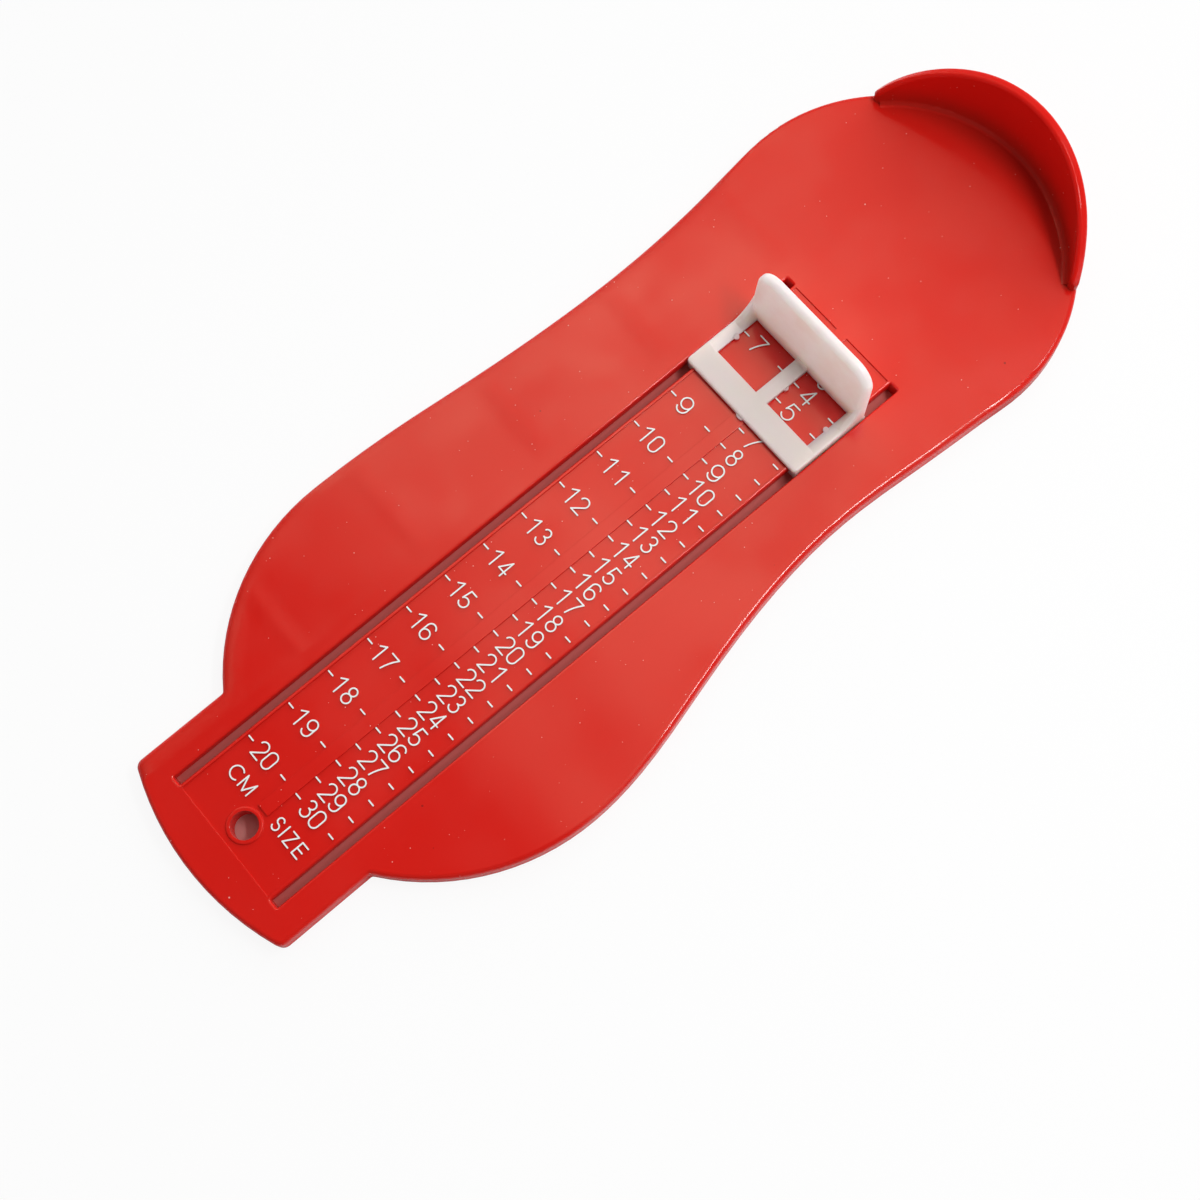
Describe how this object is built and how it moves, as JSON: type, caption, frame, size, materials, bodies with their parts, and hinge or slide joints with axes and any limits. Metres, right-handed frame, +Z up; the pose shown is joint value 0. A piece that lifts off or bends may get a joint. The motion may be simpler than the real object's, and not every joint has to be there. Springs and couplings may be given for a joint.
{
  "type": "foot measuring device",
  "caption": "Sole-shaped plate with a curved heel wall, a graduated strip between two slots, and a slider whose upright toe wall runs along the strip to read foot length.",
  "frame": {"origin": "middle of the outline's box, on the surface that the plate lies on", "axes": "+Z up, +Y from the toe end to the heel, +X to the right seen from above with the heel away"},
  "size_m": [0.0892, 0.2273, 0.0222],
  "materials": {
    "red_plastic": "glossy injection moulding",
    "milky_plastic": "glossy translucent injection moulding",
    "white_ink": "hot-stamped white on raised characters"
  },
  "bodies": {
    "plate": {"sole_plate": "red_plastic", "cm_ticks": "white_ink", "cm_numerals": "white_ink", "cm_label": "white_ink", "size_ticks": "white_ink", "size_numerals": "white_ink", "size_label": "white_ink"},
    "slider": {"slider": "milky_plastic"}
  },
  "joints": [
    {"name": "slider_travel", "type": "slide", "parent": "plate", "child": "slider", "axis": [0, 1, 0], "range_m": [-0.1331, 0.0086]}
  ]
}
